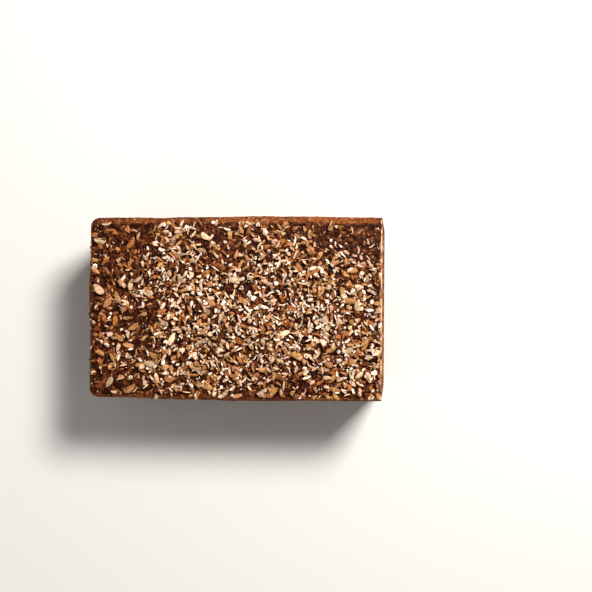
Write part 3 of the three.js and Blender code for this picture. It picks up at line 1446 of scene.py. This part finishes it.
@dataclass
class GrainBatch:
    """Grains of one kind that have been given their places.

    Attributes:
        kind: The kind.
        centres: Places, one row each.
        rotations: One matrix each.
        sizes: Length of each.
        tints: Linear colour of each.
    """

    kind: GrainKind
    centres: Array
    rotations: Array
    sizes: Array
    tints: Array

    def build(self, forms: GrainForms, effects: Effects, keep_in: LoafForm) -> Piece:
        """Makes one piece of all the grains.

        Args:
            forms: Maker of the unit shapes.
            effects: The shared node groups.
            keep_in: The loaf, whose cut face trims what sticks out past it.

        Returns:
            The grain piece.
        """
        versions = forms.make(self.kind.shape, self.kind.versions)
        points, faces, tints, used = [], [], [], 0
        for number, (unit, triangles, tone) in enumerate(versions):
            mine = np.arange(len(self.centres)) % len(versions) == number
            if not mine.any():
                continue
            scaled = unit[None] * self.sizes[mine][:, None, None]
            placed = np.einsum("nij,nvj->nvi", self.rotations[mine], scaled) + self.centres[mine][:, None]
            points.append(placed.reshape(-1, 3))
            offset = used + np.arange(mine.sum()) * len(unit)
            faces.append((triangles[None] + offset[:, None, None]).reshape(-1, 3))
            tints.append((self.tints[mine][:, None] * tone[None, :, None]).reshape(-1, 3))
            used += mine.sum() * len(unit)
        all_points = np.concatenate(points)
        limit = keep_in.cut_at(all_points[:, 2]) + PROUD_OF_CUT
        all_points[:, 0] = np.minimum(all_points[:, 0], limit)
        piece = build_object(self.kind.name, all_points, [np.concatenate(faces)], self.kind.smooth)
        set_colours(piece, "tint", np.clip(np.concatenate(tints), 0, 1))
        piece.data.materials.append(self.kind.finish.build(effects))
        return piece


@dataclass
class Topping:
    """The grain pressed into the top, kind by kind, each lying on what is already there.

    Attributes:
        form: The loaf's shape.
        crust: The crust, for its roughness and its bare edges.
        seed: Start of the random draws.
        pitch: Spacing of the height map that the grain piles up on.
        tallest: Most that the pile may stand above the crust.
        rim_gap: How far the grain's centres stay back from the cut.
        edge_share: Share of a grain's length that its centre stays in from the baked edges.
        edge_gap: What is added to that.
        tries: How many places are tried for each grain that is wanted.
    """

    form: LoafForm
    crust: Crust
    seed: int = 7
    pitch: float = 0.5 * MM
    tallest: float = 2.2 * MM
    rim_gap: float = 1.1 * MM
    edge_share: float = 0.36
    edge_gap: float = 0.4 * MM
    tries: int = 30

    def __post_init__(self) -> None:
        """Lays out the bare top as a height map."""
        self.rng = np.random.default_rng(self.seed)
        self.xs = np.arange(self.form.low.x, self.form.high.x, self.pitch)
        self.ys = np.arange(self.form.low.y, self.form.high.y, self.pitch)
        x, y = (grid.ravel() for grid in np.meshgrid(self.xs, self.ys, indexing="ij"))
        smooth_top = self.form.top_at(x, y)
        place = np.column_stack([x, y, smooth_top])
        seeded = self.crust.seeded_at(x, y)
        bare = smooth_top + self.crust.top_relief(place) * seeded
        shape = (len(self.xs), len(self.ys))
        self.bare = bare.reshape(shape)
        self.pile = self.bare.copy()
        self.cover = (self.cover_at(x, y) * seeded).reshape(shape)
        self.cover[self.edge_cut(x).reshape(shape)] = 0

    def edge_cut(self, x: Array) -> Array:
        """Whether each place is too close to the cut for a grain's centre."""
        return x > self.form.cut_at(self.form.wall_height) - self.rim_gap

    def cover_at(self, x: Array, y: Array) -> Array:
        """How thickly the grain was strewn: well in the middle and towards the cut, thin at the baked end.

        Args:
            x: Places along the loaf.
            y: Places across it.

        Returns:
            A share from 0 to 1 for each place.
        """
        form = self.form
        along = (x - form.low.x) / (form.high.x - form.low.x)
        across = y / form.high.y
        cover = 0.2 + 0.64 * ramp(along, 0.0, 0.34) - 0.46 * ramp(across, 0.3, 0.9)
        for middle_x, middle_y, wide_x, wide_y, change in COVER_CHANGES:
            off = ((along - middle_x) / wide_x) ** 2
            cover += change * np.exp(-off - (((across - middle_y) / wide_y) ** 2))
        place = np.column_stack([x, y, np.zeros(len(x))])
        cover -= 0.45 * ramp(-across, 0.6, 1.0)
        return np.clip(cover + 0.4 * layered_noise(place, 11 * MM, 141), 0.07, 1)

    def scatter(self, kind: GrainKind) -> GrainBatch:
        """Strews one kind over the top.

        Args:
            kind: The kind.

        Returns:
            The grains in their places.
        """
        rng = self.rng
        form = self.form
        taken: dict[tuple[int, int], list[tuple[float, float]]] = {}
        gap = kind.apart * kind.length[0]
        centres, sizes, yaws = [], [], []
        for _ in range(kind.count * self.tries):
            if len(centres) == kind.count:
                break
            x, y = rng.uniform(form.low.x, form.high.x), rng.uniform(form.low.y, form.high.y)
            i, j = int((x - form.low.x) / self.pitch), int((y - form.low.y) / self.pitch)
            wanted = self.cover[min(i, len(self.xs) - 1), min(j, len(self.ys) - 1)]
            if wanted <= 0 or rng.uniform() > wanted**kind.spread:
                continue
            home = (int(x // gap), int(y // gap))
            around = [(home[0] + across, home[1] + along) for across, along in product((-1, 0, 1), repeat=2)]
            near = [place for cell in around for place in taken.get(cell, [])]
            if any((x - px) ** 2 + (y - py) ** 2 < gap * gap for px, py in near):
                continue
            size = kind.length[0] + (kind.length[1] - kind.length[0]) * rng.beta(1.6, 2.4)
            yaw = rng.uniform(0, 2 * math.pi)
            inside = float(form.edge_distance(np.array([x]), np.array([y]))[0])
            if inside < self.edge_share * size + self.edge_gap:
                continue
            z = self.settle_grain(kind, x, y, size, yaw)
            if z is None:
                continue
            taken.setdefault(home, []).append((x, y))
            centres.append((x, y, z))
            sizes.append(size)
            yaws.append(yaw)
        count = len(centres)
        tips = rng.normal(0, kind.tilt, (2, count))
        palette = np.array(kind.colours)[:, :3]
        tints = palette[rng.integers(0, len(palette), count)] * rng.uniform(0.7, 1.2, (count, 1))
        return GrainBatch(kind, np.array(centres), turns(np.array(yaws), *tips), np.array(sizes), tints)

    def settle_grain(self, kind: GrainKind, x: float, y: float, size: float, yaw: float) -> float | None:
        """Rests one grain on the pile and adds it to the height map.

        Args:
            kind: The grain's kind.
            x: Its place along the loaf.
            y: Its place across the loaf.
            size: Its length.
            yaw: The way it lies.

        Returns:
            The height of its centre, or None where the pile is already too high.
        """
        long, wide, tall = FOOTPRINTS[kind.shape]
        reach = max(1, math.ceil(long * size / self.pitch))
        i, j = int((x - self.form.low.x) / self.pitch), int((y - self.form.low.y) / self.pitch)
        rows = slice(max(0, i - reach), i + reach + 1)
        columns = slice(max(0, j - reach), j + reach + 1)
        off_x = self.xs[rows][:, None] - x
        off_y = self.ys[columns][None, :] - y
        along = (off_x * math.cos(yaw) + off_y * math.sin(yaw)) / (long * size)
        across = (off_y * math.cos(yaw) - off_x * math.sin(yaw)) / (wide * size)
        under = 1 - along**2 - across**2
        window = self.pile[rows, columns]
        inside = under > 0
        if not inside.any():
            inside = under == under.max()
        rest = float(window[inside].mean() + 0.35 * (window[inside].max() - window[inside].mean()))
        if rest - float(self.bare[rows, columns][inside].mean()) > self.tallest - tall * size * 0.5:
            return None
        centre = rest + tall * size * (0.5 - kind.sink)
        dome = centre + tall * size * 0.5 * np.sqrt(np.clip(under, 0, 1))
        self.pile[rows, columns] = np.where(inside, np.maximum(window, dome), window)
        return centre


@dataclass
class SetGrain:
    """Grain that is set in an upright face and shows at its surface.

    Attributes:
        form: The loaf's shape.
        seed: Start of the random draws.
        margin: How far it stays inside the face's edges.
    """

    form: LoafForm
    seed: int = 19
    margin: float = 4.0 * MM

    def places(self, count: int, rng: np.random.Generator) -> Arrays:
        """Draws places on the cut face.

        Args:
            count: How many.
            rng: The random draws.

        Returns:
            The places, the way that the face looks at each, in plan, and how far it leans back.
        """
        z = rng.uniform(self.margin, self.form.wall_height - self.margin * 0.5, count)
        across = rng.uniform(-1, 1, count) * (self.form.half_at(self.form.high.x, z) - self.margin)
        points = np.stack([self.form.cut_at(z), across, z], axis=1)
        return points, np.zeros(count), np.full(count, self.form.cut_lean)

    def scatter(self, kind: GrainKind) -> GrainBatch:
        """Sets one kind into the face.

        Args:
            kind: The kind.

        Returns:
            The grains in their places.
        """
        count = kind.count
        rng = np.random.default_rng(self.seed + len(kind.name))
        points, facing, lean = self.places(count, rng)
        sizes = rng.uniform(*kind.length, count)
        outward = np.stack([np.cos(facing), np.sin(facing), np.zeros(count)], axis=1)
        lie = turns(rng.uniform(0, 2 * math.pi, count), *rng.normal(0, kind.tilt, (2, count)))
        upright = turns(facing, math.pi / 2 - lean, np.zeros(count))
        palette = np.array(kind.colours)[:, :3]
        tints = palette[rng.integers(0, len(palette), count)] * rng.uniform(0.7, 1.1, (count, 1))
        centres = points - outward * (kind.sink * sizes * 0.3)[:, None]
        return GrainBatch(kind, centres, np.einsum("nij,njk->nik", upright, lie), sizes, tints)


@dataclass
class WallGrain(SetGrain):
    """Grain that shows through the crust of the two long walls and the baked end.

    Attributes:
        crust: The crust, for its roughness.
        end_share: Share of the grain that is in the baked end.
    """

    crust: Crust | None = None
    end_share: float = 0.24

    def places(self, count: int, rng: np.random.Generator) -> Arrays:
        """Draws places on the walls.

        Args:
            count: How many.
            rng: The random draws.

        Returns:
            The places, the way that the wall looks at each, in plan, and how far it leans back.
        """
        form = self.form
        z = rng.uniform(self.margin, form.wall_height - self.margin, count)
        side = np.where(rng.uniform(size=count) < 0.5, -1, 1)
        at_end = rng.uniform(size=count) < self.end_share
        share = rng.uniform(0, 1, count)
        start, stop = form.end_at(z) + self.margin, form.cut_at(z) - self.margin
        x = np.where(at_end, form.end_at(z), start + (stop - start) * share)
        half = form.half_at(x, z)
        y = np.where(at_end, (half - self.margin) * (2 * share - 1), half * side)
        facing = np.where(at_end, math.pi, side * math.pi / 2)
        points = np.stack([x, y, z], axis=1)
        outward = np.stack([np.cos(facing), np.sin(facing), np.zeros(count)], axis=1)
        height, _ = self.crust.wall_relief(points)
        lean = np.full(count, -math.atan2(form.wall_lean, form.wall_height))
        return points + outward * height[:, None], facing, lean


# Studio


@dataclass(frozen=True)
class Studio:
    """A pale floor, a large soft light from beyond the loaf's far side, soft fill, and a camera overhead.

    Attributes:
        height: The camera's height above the floor.
        stand: Where the camera stands, along the loaf and across it.
        lens: Its focal length, for a sensor 36 mm wide.
        turn: How far the camera is turned about the way it looks.
    """

    height: float = 0.661
    stand: tuple[float, float] = (0.0313, 0.0074)
    lens: float = 64.1
    turn: float = math.radians(0.4)

    def build(self) -> None:
        """Makes the floor, the lights and the camera."""
        self.floor()
        self.world()
        self.light("key", (0.46, 0.56, 0.95), 0.34, 17.5, (1.0, 0.972, 0.938))
        self.light("fill", (-0.8, -0.75, 0.4), 1.0, 2.6, (1.0, 0.98, 0.96))
        camera = bpy.data.objects.new("camera", bpy.data.cameras.new("camera"))
        camera.location = (*self.stand, self.height)
        camera.rotation_euler.z = self.turn
        camera.data.lens = self.lens
        camera.data.sensor_width = 36
        camera.data.clip_start = 0.01
        bpy.context.scene.collection.objects.link(camera)
        bpy.context.scene.camera = camera
        bpy.context.scene.view_settings.view_transform = "Standard"
        bpy.context.scene.view_settings.look = "Medium High Contrast"

    @staticmethod
    def floor() -> None:
        """Makes a plain pale floor, which isn't part of the object."""
        reach = 3.0
        corners = np.array([[-reach, -reach, 0], [reach, -reach, 0], [reach, reach, 0], [-reach, reach, 0]])
        floor = build_object("floor", corners, [np.array([[0, 1, 2, 3]])], False)
        material, _, shader = start_material("pale_floor")
        shader.inputs["Base Color"].default_value = (0.72, 0.71, 0.69, 1)
        shader.inputs["Roughness"].default_value = 0.8
        floor.data.materials.append(material)

    @staticmethod
    def world() -> None:
        """Gives soft light from all round."""
        world = bpy.data.worlds.new("studio")
        world.use_nodes = True
        world.node_tree.nodes["Background"].inputs["Color"].default_value = (1.0, 0.99, 0.975, 1)
        world.node_tree.nodes["Background"].inputs["Strength"].default_value = 0.24
        bpy.context.scene.world = world

    @staticmethod
    def light(name: str, place: Place, size: float, power: float, colour: Place) -> None:
        """Adds a square soft light that points at the loaf.

        Args:
            name: Its name.
            place: Where it stands.
            size: Width of its square.
            power: Its power in watts.
            colour: Its colour.
        """
        lamp = bpy.data.lights.new(name, "AREA")
        lamp.size = size
        lamp.energy = power
        lamp.color = colour
        holder = bpy.data.objects.new(name, lamp)
        holder.location = place
        holder.rotation_euler = (-Vector(place)).to_track_quat("-Z", "Y").to_euler()
        bpy.context.scene.collection.objects.link(holder)


PALE = linear(248, 229, 210)
CREAM = linear(228, 194, 160)
GREY_CREAM = linear(192, 164, 132)
ROSE_CREAM = linear(222, 187, 163)
TAN = linear(184, 134, 90)
OLIVE_TAN = linear(186, 142, 92)
ORANGE_TAN = linear(166, 108, 62)
BROWN = linear(116, 68, 36)
DARK_BROWN = linear(76, 36, 16)

KERNEL_FINISH = GrainFinish("toasted_kernel", toast_share=0.62, streak_size=1.5 * MM)
CHIP_FINISH = GrainFinish("cracked_grain_skin", toast_share=0.72, streak_size=1.1 * MM)
SOAKED_FINISH = GrainFinish("soaked_grain_skin", toast_share=0.6, smoothest=0.26, roughest=0.5, gloss=0.26)
HUSK_FINISH = GrainFinish("dry_husk", toast_share=0.42, roughest=0.85, smoothest=0.6)
WALL_FINISH = GrainFinish("tin_baked_grain", toast_share=0.6, streak_size=1.2 * MM)

TOPPING_KINDS = (
    GrainKind("soaked_kernels", GrainShape.KERNEL, 170, (4.5 * MM, 8.5 * MM),
              (BROWN, DARK_BROWN, BROWN, ORANGE_TAN),
              SOAKED_FINISH, sink=0.6, tilt=0.1, apart=0.9, spread=0.0),
    GrainKind("soaked_grain", GrainShape.CHIP, 2200, (1.4 * MM, 4.0 * MM),
              (BROWN, DARK_BROWN, DARK_BROWN, DARK_BROWN, ORANGE_TAN),
              SOAKED_FINISH, sink=0.5, apart=0.6, spread=0.0),
    GrainKind("sunflower_kernels", GrainShape.KERNEL, 160, (5.0 * MM, 9.0 * MM),
              (TAN, CREAM, OLIVE_TAN, TAN, GREY_CREAM, ORANGE_TAN),
              KERNEL_FINISH, sink=0.3, tilt=0.14, apart=0.95, spread=0.7),
    GrainKind("crushed_grain", GrainShape.FLAKE, 450, (3.2 * MM, 7.2 * MM),
              (CREAM, TAN, ROSE_CREAM, PALE, OLIVE_TAN, ORANGE_TAN),
              CHIP_FINISH, smooth=False, sink=0.2, tilt=0.34, apart=0.8),
    GrainKind("cracked_grain", GrainShape.CHIP, 600, (2.4 * MM, 5.8 * MM),
              (CREAM, TAN, ORANGE_TAN, ROSE_CREAM, BROWN, OLIVE_TAN),
              CHIP_FINISH, smooth=False, tilt=0.34, apart=0.7),
    GrainKind("pale_chips", GrainShape.FLAKE, 470, (1.9 * MM, 4.7 * MM),
              (PALE, PALE, CREAM),
              HUSK_FINISH, smooth=False, sink=0.1, tilt=0.45, apart=0.55, spread=2.2),
    GrainKind("round_grains", GrainShape.ROUND, 80, (1.5 * MM, 2.5 * MM),
              (PALE, CREAM, PALE),
              HUSK_FINISH, tilt=0.4, apart=1.6),
    GrainKind("husk_slivers", GrainShape.SLIVER, 190, (3.0 * MM, 7.0 * MM),
              (PALE, CREAM, GREY_CREAM, TAN),
              HUSK_FINISH, sink=0.1, tilt=0.12, apart=0.8, spread=0.6),
    GrainKind("bran_crumbs", GrainShape.CRUMB, 2100, (0.6 * MM, 1.7 * MM),
              (TAN, DARK_BROWN, BROWN, CREAM, BROWN, PALE),
              CHIP_FINISH, smooth=False, sink=0.3, tilt=0.5, apart=0.8, spread=0.5),
)

CUT_KINDS = (
    GrainKind("cut_kernels", GrainShape.KERNEL, 16, (5.0 * MM, 8.5 * MM),
              (TAN, ORANGE_TAN, GREY_CREAM),
              KERNEL_FINISH, sink=0.45, tilt=0.5),
    GrainKind("cut_cracked_grain", GrainShape.CHIP, 420, (1.0 * MM, 3.2 * MM),
              (TAN, ORANGE_TAN, BROWN, BROWN),
              CHIP_FINISH, smooth=False, sink=0.9, tilt=0.9),
)

WALL_KINDS = (
    GrainKind("wall_kernels", GrainShape.KERNEL, 110, (5.0 * MM, 8.0 * MM),
              (BROWN, ORANGE_TAN, TAN, TAN),
              WALL_FINISH, sink=0.2, tilt=0.06),
    GrainKind("wall_cracked_grain", GrainShape.CHIP, 900, (1.2 * MM, 3.6 * MM),
              (BROWN, ORANGE_TAN, DARK_BROWN, TAN),
              WALL_FINISH, sink=0.12, tilt=0.12),
)


def report(piece: Piece) -> None:
    """Logs a finished piece."""
    LOG.info("%s: %d faces", piece.name, len(piece.data.polygons))


def main() -> None:
    """Builds the loaf piece by piece, then the studio round it."""
    logging.basicConfig(level=logging.INFO, format="%(message)s")
    effects = Effects()
    form = LoafForm(*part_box("loaf"))
    crust = Crust(form, CrustFinish())
    outside = crust.build(effects)
    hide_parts("loaf")
    inside = Crumb(form, CrumbFinish()).build(effects)
    pieces = [outside, inside]

    forms = GrainForms(3)
    topping = Topping(form, crust)
    for kind in TOPPING_KINDS:
        pieces.append(topping.scatter(kind).build(forms, effects, form))
    set_grain = [(SetGrain(form), kind) for kind in CUT_KINDS]
    set_grain += [(WallGrain(form, seed=23, margin=7 * MM, crust=crust), kind) for kind in WALL_KINDS]
    for face, kind in set_grain:
        pieces.append(face.scatter(kind).build(forms, effects, form))

    for piece in pieces:
        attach(piece, BODY)
        report(piece)
    Studio().build()


if __name__ == "__main__":
    main()
